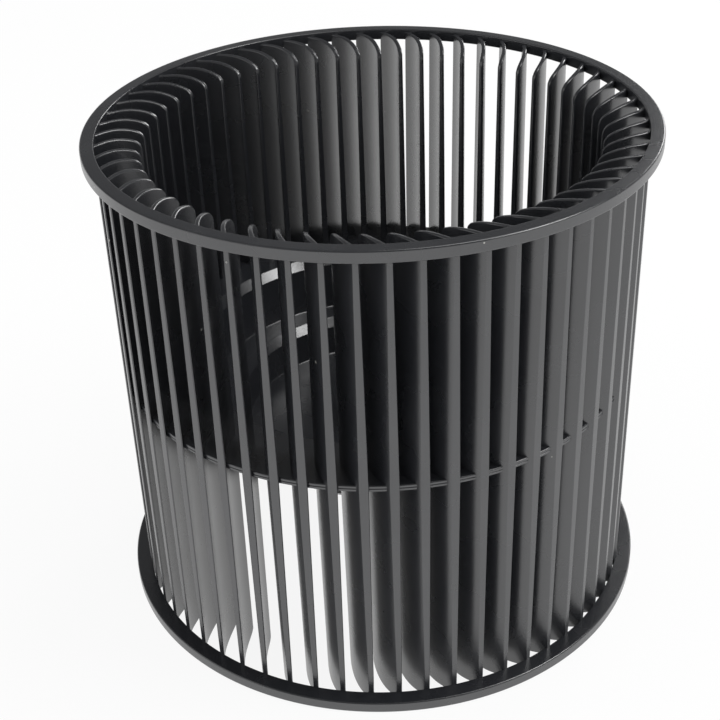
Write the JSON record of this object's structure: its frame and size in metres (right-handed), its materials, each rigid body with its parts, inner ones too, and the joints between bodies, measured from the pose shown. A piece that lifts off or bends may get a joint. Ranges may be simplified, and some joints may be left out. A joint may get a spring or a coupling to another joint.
{
  "type": "double-inlet blower wheel",
  "caption": "Moulded double-inlet blower wheel for a cooker hood, with forward-curved blades on a dished disc and a bored hub for the motor shaft.",
  "frame": {"origin": "middle of the foot ring's lower face, on the wheel's axis", "axes": "+Z along the wheel's axis, up from the ring that it stands on; -Y is the side that faced the camera"},
  "size_m": [0.1516, 0.1516, 0.1368],
  "materials": {
    "black_plastic": "satin black moulded plastic"
  },
  "bodies": {
    "root": {"fan_wheel": "black_plastic"}
  },
  "joints": []
}
